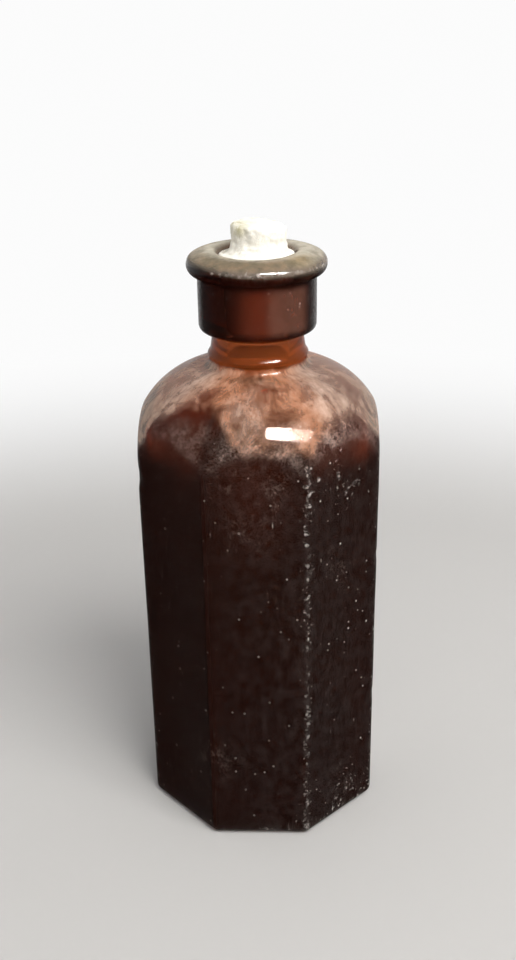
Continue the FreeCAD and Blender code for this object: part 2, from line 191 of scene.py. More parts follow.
class DustAndPaintedLightSettings(PropertyGroup):
    """Colours and amounts of the dust and worn marks on the glass, and of its painted shade and painted glow.
    """

    lift: length("Film height", "How far the film stands off the glass", 0.05 * MM)
    # Painted shade: a near-black film that darkens body, collar and the bead's underside and hides the
    # floor's reflections
    painted_shade: colour("Soil", "Colour of the thin soil on the facets", (0.014, 0.0045, 0.003))
    # Painted glow: an amber film on the neck stands for light shining through its glass
    neck: colour("Neck bloom", "Colour of the clear bloom on the neck", (0.36, 0.075, 0.012))
    # Painted glow: an amber film on the collar's middle, the upper front facet and red lobes on the shoulder
    glow: colour("Collar glow", "Colour of the clear bloom on the front of the collar", (0.20, 0.036, 0.014))
    veil: colour("Veil", "Colour of the brown veil on the right of the collar", (0.22, 0.09, 0.06))
    haze: colour("Haze", "Colour of the dull film on the front of the shoulder", (0.72, 0.325, 0.175))
    side_haze: colour("Side haze", "Colour of the dull film on the sides of the shoulder",
                      (0.57, 0.43, 0.335))
    smear: colour("Smear", "Colour of the wiped dust in the haze", (0.82, 0.63, 0.52))
    bloom: colour("Bloom", "Colour of the pale bloom over the arches", (0.66, 0.50, 0.43))
    grime: colour("Grime", "Colour of the fine dark grain in the dust", (0.20, 0.14, 0.10))
    bead_dust: colour("Bead dust", "Colour of the dust on the side of the lip", (0.225, 0.18, 0.14))
    lip_dust: colour("Lip dust", "Colour of the dust on the lip", (0.27, 0.22, 0.15))
    lip_brown: colour("Brown lip dust", "Colour of the browner dust on the lip", (0.27, 0.19, 0.12))
    lip_pale: colour("Pale lip dust", "Colour of the thicker dust on the lip", (0.62, 0.57, 0.47))
    stain: colour("Stain", "Colour of the stain on the lip", (0.36, 0.24, 0.08))
    scuff: colour("Scuff", "Colour of flecks, specks and scratches", (0.66, 0.62, 0.58))
    painted_shade_amount: share("Soil amount", "Cover of the thin soil", 0.7)
    neck_glow_amount: share("Neck amount", "Cover of the clear bloom on the neck", 0.42)
    haze_amount: share("Haze amount", "Cover of the dull film", 0.5)
    smear_amount: share("Smear amount", "Cover of the wiped dust", 0.45)
    bloom_amount: share("Bloom amount", "Cover of the pale bloom", 0.5)
    wisp_amount: share("Wisp amount", "Cover of the thin wisps on the facets", 0.16)
    wipe_amount: share("Wipe amount", "Cover of the faint wipe marks on the facets", 0.025)
    edge_amount: share("Edge amount", "Cover of the rubbed line along the edges", 0.12)
    lip_amount: share("Lip dust amount", "Cover of the dust on the lip", 0.85)
    scuff_amount: share("Scuff amount", "Cover of the worn flecks", 0.8)
    fleck_level: share("Fleck level", "Level of the noise above which a fleck shows", 0.64)


class CorkSettings(PropertyGroup):
    """Sizes and colours of the cork."""

    bottom: length("Bottom", "Height of the cork's lower end", CORK_LOW.z)
    top: length("Top", "Height of the stub's top", CORK_HIGH.z)
    rim_height: length("Rim height", "Height of the crumbled rim in the mouth", 125.4 * MM)
    gap: length("Gap", "Room between the cork and its seat", 0.08 * MM)
    stub_offset: length("Stub offset", "How far the worn stub stands off the axis", 0.45 * MM)
    stub_radius: length("Stub radius", "Radius of the stub at its waist", 5.6 * MM)
    top_fall: length("Top fall", "How far the stub's top falls to the right", 0.9 * MM)
    trench_depth: length("Trench depth", "Depth of the trench beside the stub", 1.3 * MM)
    bleached: colour("Bleached cork", "Colour of the weathered end", (0.93, 0.91, 0.83))
    fresh: colour("Fresh cork", "Colour of the cork inside the neck", (0.34, 0.20, 0.11))
    cell: colour("Cell", "Colour of the cell walls", (0.62, 0.50, 0.30))
    # Bark patch, coloured warm so that it also paints the shade on the stub's left
    bark_and_shade: colour("Bark", "Colour of the bark patch", (0.50, 0.45, 0.22))
    pore: colour("Pore", "Colour of the dark pores", (0.24, 0.16, 0.08))


class StageSettings(PropertyGroup):
    """Floor, lamps and camera."""

    floor_near: colour("Near floor", "Colour of the floor near the bottle", (0.56, 0.55, 0.54))
    floor_far: colour("Far floor", "Colour of the floor and wall behind", (0.86, 0.86, 0.86))
    floor_grain: colour("Floor grain", "Colour of the faint grain of the floor", (0.4, 0.4, 0.4))
    key_power: FloatProperty(name="Key lamp", description="Power of the key lamp", default=5.5, min=0.0,
                             unit="POWER")
    fill: FloatProperty(name="Fill", description="Strength of the soft light from all sides", default=0.6,
                        min=0.0)
    lens: FloatProperty(name="Lens", description="Focal length on a 36 mm sensor", default=41.162, min=1.0,
                        unit="CAMERA")


class ReagentBottleSettings(PropertyGroup):
    """All settings of the reagent bottle."""

    glass: PointerProperty(type=GlassSettings)
    dust: PointerProperty(type=DustAndPaintedLightSettings)
    cork: PointerProperty(type=CorkSettings)
    stage: PointerProperty(type=StageSettings)


def smooth_step(low, high, value):
    """Zero below low, one above high, and a smooth cubic between."""
    part = np.clip((value - low) / (high - low), 0.0, 1.0)
    return part * part * (3.0 - 2.0 * part)


def soft_min(first, second, width):
    """The smaller of two numbers, with the crossing rounded by a parabola of the given width."""
    part = np.clip(0.5 + 0.5 * (second - first) / width, 0.0, 1.0)
    return second + (first - second) * part - width * part * (1.0 - part)


def facet_angle(angle):
    """Angle of a direction from the middle of the facet that it lies on."""
    return np.mod(angle + math.pi / 2 + HALF_SIDE_ANGLE, EIGHTH_TURN) - HALF_SIDE_ANGLE


def octagon_radius(angle, apothem, corner):
    """Distance from the axis to an octagon with round corners.

    On a side it is the apothem over the cosine of the angle from the side's middle. Near a corner it is the
    far side of the corner's circle, from the cosine rule.
    """
    off = facet_angle(angle)
    side = apothem / np.cos(off)
    centre = (apothem - corner) / math.cos(HALF_SIDE_ANGLE)
    lean = HALF_SIDE_ANGLE - np.abs(off)
    bend = centre * np.cos(lean) + np.sqrt(np.maximum(corner ** 2 - (centre * np.sin(lean)) ** 2, 0.0))
    tangent = np.arctan((apothem - corner) * math.tan(HALF_SIDE_ANGLE) / apothem)
    return np.where(np.abs(off) <= tangent, side, bend)


def column_angles():
    """Angles of the grid's columns: every eighth has the same steps, close together at its corners."""
    half = np.radians([0.0, 2.9, 5.8, 8.7, 11.6, 14.2, 16.4, 18.2, 19.6, 20.6, 21.2, 21.6, 22.0, 22.25])
    sector = np.concatenate([-half[:0:-1], half, [HALF_SIDE_ANGLE]])
    middles = -math.pi / 2 + EIGHTH_TURN * np.arange(8)
    return (middles[:, None] + sector[None, :]).ravel()


def arc(centre, radius, start, end, count):
    """Points on a circle from one angle to another in degrees, both included."""
    turn = np.radians(np.linspace(start, end, count))
    return np.stack([centre[0] + radius * np.cos(turn), centre[1] + radius * np.sin(turn)], axis=1)


def even_walk(points, step, blur):
    """A polyline walked in equal steps, with corners rounded by a Gaussian; both ends stay put.

    The line is first walked in steps of a quarter of the blur, then each coordinate is averaged with Gaussian
    weights whose width is the blur, and the smooth line is walked again.
    """
    parts = 4
    reach = 4 * parts
    points = np.asarray(points, float)
    run = np.concatenate([[0.0], np.cumsum(np.hypot(*np.diff(points, axis=0).T))])
    count = max(int(run[-1] / (blur / parts)), 8)
    at = np.linspace(0.0, run[-1], count)
    walk = np.stack([np.interp(at, run, points[:, axis]) for axis in (0, 1)], axis=1)
    weight = np.exp(-0.5 * (np.arange(-reach, reach + 1) / parts) ** 2)
    weight /= weight.sum()
    before = 2.0 * walk[0] - walk[reach:0:-1]
    after = 2.0 * walk[-1] - walk[-2:-reach - 2:-1]
    padded = np.concatenate([before, walk, after])
    smooth = np.stack([np.convolve(padded[:, axis], weight, mode="valid") for axis in (0, 1)], axis=1)
    run = np.concatenate([[0.0], np.cumsum(np.hypot(*np.diff(smooth, axis=0).T))])
    at = np.linspace(0.0, run[-1], max(int(round(run[-1] / step)) + 1, 3))
    return np.stack([np.interp(at, run, smooth[:, axis]) for axis in (0, 1)], axis=1)


def ripples(angle, height, seed, count=7):
    """Waves of about unit height that close round the axis.

    They are the sum of cosines with whole turns and random phases, over the root of their number.
    """
    chance = np.random.default_rng(seed)
    turns = chance.integers(0, 7, count)
    climbs = chance.uniform(60.0, 260.0, count)
    phases = chance.uniform(0.0, 2.0 * math.pi, count)
    total = np.zeros(np.broadcast(angle, height).shape)
    for turn, climb, phase in zip(turns, climbs, phases):
        total = total + np.cos(turn * angle + climb * height + phase)
    return total / math.sqrt(count)


def dome_and_neck(glass):
    """Profile of the shoulder and the bare neck, as (radius, height) points up to the collar.

    The dome is a circle's arc. The neck is a cone. A fillet circle touches both: its centre lies one fillet
    outside the cone and at the sum of the radii from the dome's centre. The vault inside has the same
    centres, with radii that differ by the thickness of the glass.
    """
    reach = glass.across_flats / 2 / math.cos(HALF_SIDE_ANGLE)
    centre = np.array([reach - glass.shoulder_round, glass.shoulder_start])
    foot = np.array(NECK_FOOT)
    top = np.array(NECK_TOP)
    along = (top - foot) / np.hypot(*(top - foot))
    outward = np.array([along[1], -along[0]])
    start = foot + glass.neck_fillet * outward - centre
    ahead = start @ along
    rise = -ahead + math.sqrt(ahead ** 2 - start @ start + (glass.shoulder_round + glass.neck_fillet) ** 2)
    middle = start + rise * along
    tilt = math.degrees(math.atan2(middle[1], middle[0]))
    lean = math.degrees(math.atan2(-outward[1], -outward[0])) % 360.0
    dome = arc(centre, glass.shoulder_round, 0.0, tilt, 46)
    fillet = arc(centre + middle, glass.neck_fillet, tilt + 180.0, lean, 9)
    vault = np.concatenate([
        arc(centre + middle, glass.neck_fillet + SHOULDER_WALL, lean, tilt + 180.0, 12),
        arc(centre, glass.shoulder_round - SHOULDER_WALL, tilt, 0.0, 30)[1:],
    ])
    return dome, fillet, top, vault


def finish_profile(glass, neck_start, neck_top):
    """Profile of neck, collar, bead and lip, and that of the flare and the cork's seat.

    Both are polylines along arcs and straight lines.
    """
    outside = np.concatenate([
        [neck_start, neck_top],
        arc((glass.collar_radius - COLLAR_ROUND, COLLAR_ROUND_HEIGHT), COLLAR_ROUND, -90.0, 0.0, 9),
        arc((glass.bead_radius - BEAD_ROUND, BEAD_HEIGHT), BEAD_ROUND, -88.2, 60.0, 16),
        arc((CROWN_MIDDLE, glass.lip_height - CROWN_ROUND), CROWN_ROUND, 60.0, 100.1, 12)[1:],
    ])
    flare = arc((FLARE_MIDDLE, SEAT_TOP), FLARE_ROUND, 127.8, 180.0, 9)
    seat = [(glass.seat_top_radius, SEAT_TOP), (glass.bore_radius, SEAT_FOOT)]
    return outside, np.concatenate([flare, seat])


def glass_rows(glass, angle):
    """Radius of every grid point and height of every row, from the base's middle to the inside floor.

    Rounds are circles, the body is a rounded octagon, and on the shoulder each point takes the smaller of the
    dome's circle and the octagon, which gives the arched tops of the facets. Below the dome its radius grows
    with the square of the depth, so that the crease melts out of the facets. Returns the two arrays and the
    number of rows on the outside.
    """
    apothem = glass.across_flats / 2
    everywhere = np.ones_like(angle)
    rows = []

    def circles(profile):
        rows.extend((radius * everywhere, height) for radius, height in profile)

    # Push-up and standing ring
    hollow = np.linspace(1.0 * MM, HOLLOW_RADIUS, 13)
    circles(zip(hollow, glass.push_up_depth * smooth_step(HOLLOW_RADIUS, 7.0 * MM, hollow)))
    standing = octagon_radius(angle, apothem - glass.heel_round, SMALLEST_CORNER)
    rows.extend((HOLLOW_RADIUS * (1 - part) + standing * part, 0.0) for part in (0.25, 0.5, 0.75, 1.0))

    # Heel: the octagon grows along a quarter circle
    for turn in np.radians(np.linspace(0.0, 90.0, 9)[1:]):
        inset = glass.heel_round * (1.0 - math.sin(turn))
        corner = max(glass.corner_round - inset, SMALLEST_CORNER)
        height = glass.heel_round * (1.0 - math.cos(turn))
        rows.append((octagon_radius(angle, apothem - inset, corner), height))

    # Body, close rows near the shoulder, then the dome
    dome, fillet, neck_top, vault = dome_and_neck(glass)
    plan = octagon_radius(angle, apothem, glass.corner_round)
    heights = np.concatenate([np.linspace(glass.heel_round, 70 * MM, 50)[1:],
                              np.linspace(70 * MM, glass.shoulder_start, 24)[1:-1]])
    spread = dome[0, 0] + 0.8 * MM * ((glass.shoulder_start - heights) / (7 * MM)) ** 2
    for radius, height in np.concatenate([np.stack([spread, heights], axis=1), dome]):
        rows.append((soft_min(radius, plan, glass.crease), height))
    circles(fillet[1:])
    outside, inside = finish_profile(glass, fillet[-1], neck_top)
    circles(even_walk(outside, 0.42 * MM, 0.22 * MM)[1:])
    outer_count = len(rows)

    # Mouth, cork seat, bore and vault, then the inside body: the same rule one wall further in
    inner_plan = octagon_radius(angle, apothem - glass.wall, INSIDE_CORNER)
    for radius, height in even_walk(np.concatenate([inside, vault]), 0.8 * MM, 0.3 * MM)[1:]:
        rows.append((soft_min(radius, inner_plan, 2.0 * MM), height))
    low = glass.floor_thickness + INSIDE_CORNER
    fall = np.linspace(glass.shoulder_start, low, 42)[1:]
    spread = vault[-1, 0] + 1.5 * MM * ((glass.shoulder_start - fall) / (8 * MM)) ** 2
    for radius, height in zip(spread, fall):
        rows.append((soft_min(radius, inner_plan, 2.0 * MM), height))

    # Round floor edge and floor
    for turn in np.radians(np.linspace(90.0, 0.0, 10)[1:]):
        inset = INSIDE_CORNER * (1.0 - math.sin(turn))
        corner = max(INSIDE_CORNER - inset, 1.5 * MM)
        height = glass.floor_thickness + INSIDE_CORNER * (1.0 - math.cos(turn))
        rows.append((octagon_radius(angle, apothem - glass.wall - inset, corner), height))
    floor_edge = rows[-1][0]
    rows.extend((floor_edge * part, glass.floor_thickness) for part in (0.88, 0.74, 0.6, 0.45, 0.3, 0.15))

    radius = np.array([row[0] for row in rows])
    height = np.array([row[1] for row in rows])
    return radius, height, outer_count


def glass_grid(glass):
    """Points of the glass skin as rows by columns by three, its angles and the outside row count.

    Ripples are added to the radius of the walls, and chips are taken out of the upright edges: dents whose
    depth falls off as a Gaussian of the height and of the arc from the edge. A tool mark stands out of the
    neck as a Gaussian of the height, and the lip sinks by a smooth step towards the front.
    """
    angle = column_angles()
    radius, height, outer_count = glass_rows(glass, angle)
    row = np.arange(len(height))[:, None]
    level = height[:, None]
    outside = row < outer_count
    outer = outside * smooth_step(3 * MM, 14 * MM, level) * smooth_step(104 * MM, 94 * MM, level)
    inner = ~outside * smooth_step(7 * MM, 16 * MM, level) * smooth_step(100 * MM, 90 * MM, level)
    waves = glass.outer_ripple * outer * (ripples(angle[None, :], level, 11) - 1.0)
    waves = waves + glass.inner_ripple * inner * ripples(angle[None, :], level, 23)
    for direction, middle, depth, tall in EDGE_CHIPS:
        away = np.mod(angle - math.radians(direction) + math.pi, 2 * math.pi) - math.pi
        across = np.exp(-(away * CORNER_REACH / CHIP_HALF_WIDTH) ** 2)[None, :]
        along = np.exp(-((level - middle * MM) / (tall * MM)) ** 2)
        waves = waves - glass.chip_depth * depth * across * along * outside
    ridge = glass.neck_ridge * np.exp(-((level - TOOL_MARK_HEIGHT) / TOOL_MARK_WIDTH) ** 2) * outside
    radius = radius + waves + ridge
    points = np.empty(radius.shape + (3,))
    points[..., 0] = radius * np.cos(angle)
    points[..., 1] = radius * np.sin(angle)
    sunk = smooth_step(123.6 * MM, 126.0 * MM, level) * smooth_step(1.0 * MM, 10.0 * MM, -points[..., 1])
    points[..., 2] = level - glass.lip_dip * sunk
    return points, angle, outer_count


def grid_normals(points):
    """Unit normals of a grid that closes on itself along its columns, from crossed central differences."""
    around = np.roll(points, -1, axis=1) - np.roll(points, 1, axis=1)
    upward = np.gradient(points, axis=0)
    normal = np.cross(around, upward)
    return normal / np.maximum(np.linalg.norm(normal, axis=2, keepdims=True), 1e-12)


def grid_faces(rows, columns, first=0):
    """Quads of a grid that closes on itself along its columns, wound so that they face outwards."""
    row, column = np.meshgrid(np.arange(rows - 1), np.arange(columns), indexing="ij")
    following = (column + 1) % columns
    corners = [row * columns + column, row * columns + following,
               (row + 1) * columns + following, (row + 1) * columns + column]
    return np.stack([corner.ravel() for corner in corners], axis=1) + first


def closed_skin(name, grid, first_pole, last_pole):
    """Mesh of a grid whose first and last rows are closed by a fan to one pole each."""
    rows, columns = grid.shape[:2]
    count = rows * columns
    points = np.concatenate([grid.reshape(-1, 3), [first_pole], [last_pole]])
    near = np.arange(columns)
    following = (near + 1) % columns
    start = np.stack([np.full(columns, count), following, near], axis=1)
    last = (rows - 1) * columns
    end = np.stack([last + near, last + following, np.full(columns, count + 1)], axis=1)
    faces = grid_faces(rows, columns).tolist() + start.tolist() + end.tolist()
    return new_piece(name, points, faces)


def new_piece(name, points, faces):
    """Smooth-shaded mesh object at the origin."""
    mesh = bpy.data.meshes.new(name)
    mesh.from_pydata(points.tolist(), [], faces)
    mesh.polygons.foreach_set("use_smooth", np.ones(len(mesh.polygons), bool))
    mesh.update()
    piece = bpy.data.objects.new(name, mesh)
    bpy.context.scene.collection.objects.link(piece)
    if mesh.validate():
        raise RuntimeError(f"{name} has bad faces")
    return piece


def put_values(piece, name, values):
    """Store one number for each vertex as a named attribute."""
    attribute = piece.data.attributes.new(name, "FLOAT", "POINT")
    attribute.data.foreach_set("value", np.ascontiguousarray(values, np.float32).ravel())


class NodePen:
    """Adds nodes to one tree and joins them; plain values are set on the socket itself."""

    def __init__(self, tree):
        self.tree = tree

    def feed(self, socket, value):
        """Join an output to a socket, or set a plain value on it."""
        if isinstance(value, bpy.types.NodeSocket):
            self.tree.links.new(value, socket)
        else:
            socket.default_value = value

    def add(self, kind, inputs=None, **settings):
        """A new node with its settings and with values or outputs fed to its inputs."""
        node = self.tree.nodes.new(kind)
        for key, value in settings.items():
            setattr(node, key, value)
        for key, value in (inputs or {}).items():
            self.feed(node.inputs[key], value)
        return node

    def math(self, operation, first, second=0.0, clamp=False):
        """The result of one operation on one or two numbers."""
        node = self.add("ShaderNodeMath", {0: first, 1: second}, operation=operation, use_clamp=clamp)
        return node.outputs[0]

    def times(self, *values):
        """Product of values."""
        total = values[0]
        for value in values[1:]:
            total = self.math("MULTIPLY", total, value)
        return total

    def mixture(self, *pairs):
        """Sum of values times their weights."""
        total = self.times(*pairs[0])
        for pair in pairs[1:]:
            total = self.math("ADD", total, self.times(*pair))
        return total

    def band(self, value, low, high, first=0.0, last=1.0):
        """A smooth step of the value from low to high, stretched to run from first to last."""
        limits = {"Value": value, "From Min": low, "From Max": high, "To Min": first, "To Max": last}
        return self.add("ShaderNodeMapRange", limits, interpolation_type="SMOOTHSTEP").outputs[0]

    def blend(self, share_, first, second):
        """First colour where the share is zero, second colour where it is one."""
        node = self.add("ShaderNodeMix", data_type="RGBA")
        self.feed(node.inputs[0], share_)
        self.feed(node.inputs[6], first if isinstance(first, bpy.types.NodeSocket) else (*first, 1.0))
        self.feed(node.inputs[7], second if isinstance(second, bpy.types.NodeSocket) else (*second, 1.0))
        return node.outputs[2]

    def noise(self, vector, scale, detail=3.0, rough=0.55, distortion=0.0):
        """Smooth random values in space, with a mean of about a half."""
        node = self.add("ShaderNodeTexNoise", {"Vector": vector, "Scale": scale, "Detail": detail,
                                               "Roughness": rough, "Distortion": distortion})
        return node.outputs[0]

    def scaled(self, vector, factors):
        """A vector times one factor for each axis."""
        node = self.add("ShaderNodeVectorMath", {0: vector, 1: factors}, operation="MULTIPLY")
        return node.outputs[0]

    def attribute(self, name):
        """A named number stored on the vertices."""
        node = self.add("ShaderNodeAttribute", attribute_name=name)
        return node.outputs["Fac"]

    def millimetres(self):
        """Place on the object in millimetres."""
        place = self.add("ShaderNodeTexCoord")
        return self.scaled(place.outputs["Object"], (1000.0, 1000.0, 1000.0))

    def parts(self, vector):
        """The three numbers of a vector."""
        return self.add("ShaderNodeSeparateXYZ", {0: vector}).outputs


def new_group(name, inputs, outputs):
    """Empty shader node group with named sockets; returns it with a pen, its inputs and its output node."""
    group = bpy.data.node_groups.new(name, "ShaderNodeTree")
    for label, kind, value in inputs:
        socket = group.interface.new_socket(label, in_out="INPUT", socket_type=kind)
        if value is not None:
            socket.default_value = value
    for label, kind in outputs:
        group.interface.new_socket(label, in_out="OUTPUT", socket_type=kind)
    pen = NodePen(group)
    entry = pen.add("NodeGroupInput")
    leave = pen.add("NodeGroupOutput")
    return group, pen, entry.outputs, leave.inputs


def patch_group():
    """Uneven patches: broad noise that shifts the level of a finer one, cut to a soft mask."""
    name = "uneven_patches"
    if name in bpy.data.node_groups:
        return bpy.data.node_groups[name]
    group, pen, given, made = new_group(
        name,
        [("Place", "NodeSocketVector", None), ("Broad", "NodeSocketFloat", 0.1),
         ("Fine", "NodeSocketFloat", 1.0), ("Low", "NodeSocketFloat", 0.4), ("High", "NodeSocketFloat", 0.6)],
        [("Mask", "NodeSocketFloat")])
    broad = pen.noise(given["Place"], given["Broad"], 2.0)
    fine = pen.noise(given["Place"], given["Fine"], 5.0, 0.65)
    level = pen.mixture((broad, 0.55), (fine, 0.45))
    pen.feed(made["Mask"], pen.band(level, given["Low"], given["High"]))
    return group


def speck_group():
    """Specks: round spots in a random share of the cells of a Voronoi pattern, each of its own size."""
    name = "specks"
    if name in bpy.data.node_groups:
        return bpy.data.node_groups[name]
    group, pen, given, made = new_group(
        name,
        [("Place", "NodeSocketVector", None), ("Scale", "NodeSocketFloat", 0.3),
         ("Size", "NodeSocketFloat", 0.1), ("Share", "NodeSocketFloat", 0.3)],
        [("Mask", "NodeSocketFloat")])
    cells = pen.add("ShaderNodeTexVoronoi", {"Vector": given["Place"], "Scale": given["Scale"]})
    chance = pen.add("ShaderNodeSeparateColor", {0: cells.outputs["Color"]}).outputs
    size = pen.times(given["Size"], pen.math("ADD", 0.4, chance[1]))
    spot = pen.band(cells.outputs["Distance"], size, pen.times(size, 0.45))
    kept = pen.math("LESS_THAN", chance[0], given["Share"])
    pen.feed(made["Mask"], pen.times(spot, kept))
    return group


def placed(pen, group, *values):
    """Mask of a node group placed in a material, with values for its inputs in their order."""
    node = pen.add("ShaderNodeGroup", node_tree=group)
    for socket, value in zip(node.inputs, values):
        pen.feed(socket, value)
    return node.outputs["Mask"]


def new_material(name):
    """Empty node material with a Principled shader joined to its output."""
    material = bpy.data.materials.new(name)
    material.use_nodes = True
    material.node_tree.nodes.clear()
    pen = NodePen(material.node_tree)
    shader = pen.add("ShaderNodeBsdfPrincipled")
    output = pen.add("ShaderNodeOutputMaterial")
    pen.feed(output.inputs["Surface"], shader.outputs[0])
    return material, pen, shader, output


def glass_material(glass):
    """Amber glass: absorption through its thickness, painted shade on body and collar, smudges and fine
    waves.
    """
    material, pen, shader, output = new_material("amber_glass")
    place = pen.millimetres()
    height = pen.parts(place)[2]
    smudge = placed(pen, patch_group(), place, 0.06, 0.5, 0.42, 0.62)
    # Painted shade: the base colour darkens from the shoulder down into the body, and on the collar
    tint = pen.blend(pen.band(height, 72.0, 92.0), glass.body_shade_tint, glass.shoulder_tint)
    tint = pen.blend(pen.band(height, 101.0, 104.0), tint, glass.neck_tint)
    collar = pen.times(pen.band(height, 109.6, 111.5), pen.band(height, 125.0, 121.0))
    pen.feed(shader.inputs["Base Color"], pen.blend(collar, tint, glass.collar_shade_tint))
    pen.feed(shader.inputs["Roughness"], pen.band(smudge, 0.0, 1.0, 0.04, 0.13))
    shader.inputs["IOR"].default_value = 1.5
    shader.inputs["Transmission Weight"].default_value = 1.0
    shader.inputs["Specular Tint"].default_value = (0.24, 0.18, 0.155, 1.0)
    waves = pen.noise(place, 0.3, 3.0, 0.45)
    bump = pen.add("ShaderNodeBump", {"Height": waves, "Strength": 0.08, "Distance": 0.0004})
    pen.feed(shader.inputs["Normal"], bump.outputs[0])
    volume = pen.add("ShaderNodeVolumeAbsorption")
    volume.inputs["Color"].default_value = (*glass.absorbed, 1.0)
    volume.inputs["Density"].default_value = glass.absorption
    pen.feed(output.inputs["Volume"], volume.outputs[0])
    return material


class DustAndPaintedLightFilm:
    """Layers of dust, worn marks, painted shade, glow and glints, one over another, and the noises that they
    share.

    Grain is fine and mottle coarse, on object coordinates. Cloud and thread run down from the neck, on the
    direction from the axis and the way along the profile. Wiped is drawn out upright. Edge is the ragged
    border of the haze: a smooth step of its mask, moved up and down by the cloud. Total is the film's cover,
    and tone is its colour times that cover.
    """

    def __init__(self, pen, dust):
        self.pen, self.dust = pen, dust
        self.tone, self.total = (0.0, 0.0, 0.0), 0.0
        self.place = pen.millimetres()
        self.grain = pen.noise(self.place, 2.4, 4.0, 0.7)
        self.mottle = pen.noise(self.place, 0.45, 4.0, 0.6)

        flat = pen.scaled(self.place, (1.0, 1.0, 0.0))
        around = pen.add("ShaderNodeVectorMath", {0: flat}, operation="NORMALIZE").outputs[0]
        along = pen.add("ShaderNodeCombineXYZ", {2: pen.times(pen.attribute("run"), 0.03)}).outputs[0]
        streaks = pen.add("ShaderNodeVectorMath", {0: around, 1: along}, operation="ADD").outputs[0]
        drawn = pen.noise(streaks, 5.0, 6.0, 0.62, 0.8)
        broad = pen.noise(self.place, 0.2, 6.0, 0.62, 0.8)
        self.cloud = pen.mixture((drawn, 0.5), (broad, 0.5))
        self.thread = pen.noise(streaks, 9.0, 8.0, 0.68, 0.3)

        upright = pen.scaled(self.place, (1.0, 1.0, 0.3))
        self.wiped = pen.mixture((pen.noise(upright, 1.1, 5.0, 0.7), 0.5), (self.mottle, 0.5))

        shift = pen.times(pen.math("SUBTRACT", self.cloud, 0.5), 1.3)
        self.edge = pen.band(pen.math("ADD", pen.attribute("haze"), shift), 0.15, 0.85)

    def lay(self, tone, *shares):
        """Lay a colour over the film by the usual rule of one over another.

        Its cover is the product of the shares, where a name stands for an attribute.
        """
        pen = self.pen
        cover = pen.times(*(pen.attribute(part) if isinstance(part, str) else part for part in shares))
        rest = pen.math("SUBTRACT", 1.0, self.total)
        self.tone = pen.blend(cover, self.tone, tone)
        self.total = pen.math("ADD", self.total, pen.times(cover, rest), clamp=True)

    def lay_shade_glow_and_rubs(self):
        """Painted shade outside the haze, painted glow on neck, collar and shoulder, a veil, rubbed facets
        and edges.
        """
        pen, dust = self.pen, self.dust
        patches = placed(pen, patch_group(), self.place, 0.1, 0.6, 0.38, 0.64)
        amount = pen.band(patches, 0.0, 1.0, dust.painted_shade_amount * 0.9, dust.painted_shade_amount)
        # Painted shade, then painted glow on the neck, the collar, the upper front facet and the shoulder's
        # lobes
        self.lay(dust.painted_shade, "painted_shade", pen.math("SUBTRACT", 1.0, self.edge), amount)
        self.lay(dust.neck, "neck", pen.band(self.grain, 0.3, 0.7, dust.neck_glow_amount * 0.85, dust.neck_glow_amount))
        self.lay(dust.glow, "glow", pen.band(self.grain, 0.3, 0.7, 0.35, 0.5))
        self.lay(dust.veil, "veil", pen.band(self.wiped, 0.25, 0.75, 0.36, 0.46))
        self.lay(dust.scuff, "rub", pen.band(self.wiped, 0.38, 0.7), dust.wipe_amount)
        self.lay(dust.scuff, "edges", pen.band(self.wiped, 0.35, 0.65, 0.1, 1.0), dust.edge_amount)

    def lay_haze(self):
        """Haze on the shoulder with wiped smears, the bloom over the arches, and thin wisps on the facets.

        The wisps lie where a bent noise crosses its middle.
        """
        pen, dust = self.pen, self.dust
        tone = pen.blend(pen.attribute("side"), dust.haze, dust.side_haze)
        self.lay(tone, self.edge, "dense", pen.band(self.cloud, 0.36, 0.62, 0.3, 1.1), dust.haze_amount)
        spread = pen.math("ADD", pen.times(pen.band(self.cloud, 0.42, 0.64), 0.65), pen.attribute("pale"))
        calm = pen.band(pen.attribute("calm"), 0.0, 1.0, 1.0, 0.35)
        self.lay(dust.smear, pen.band(self.thread, 0.32, 0.70), self.edge, spread, calm, dust.smear_amount)
        lace = pen.mixture((self.grain, 0.4), (self.thread, 0.3), (self.cloud, 0.4))
        self.lay(dust.bloom, "bloom", pen.band(lace, 0.48, 0.68), dust.bloom_amount)
        bent = pen.noise(self.place, 0.42, 4.0, 0.6, 1.2)
        hair = pen.band(pen.math("ABSOLUTE", pen.math("SUBTRACT", bent, 0.5)), 0.03, 0.004)
        self.lay(dust.bloom, hair, "wisps", pen.band(self.cloud, 0.42, 0.6), dust.wisp_amount)

    def lay_lip(self):
        """Lip dust, paler off the front, on the right and at the mouth, with its own colour on the bead, and
        a stain.
        """
        pen, dust = self.pen, self.dust
        thick = pen.math("ADD", pen.attribute("thick"), pen.mixture((self.mottle, 0.5), (self.grain, 0.4)))
        crest = pen.blend(pen.band(self.mottle, 0.42, 0.62), dust.lip_dust, dust.lip_brown)
        crest = pen.blend(pen.band(thick, 0.35, 1.4), crest, dust.lip_pale)
        tone = pen.blend(pen.attribute("bead"), crest, dust.bead_dust)
        self.lay(tone, "lip_dust", pen.band(self.mottle, 0.3, 0.65, 0.7, 1.0), dust.lip_amount)
        self.lay(dust.stain, "stain", pen.band(self.grain, 0.3, 0.7, 0.1, 0.5))

    def lay_marks(self):
        """Worn flecks, dense where wear and painted glints are high, and single specks and scratches on
        rubbed glass.
        """
        pen, dust, place = self.pen, self.dust, self.place
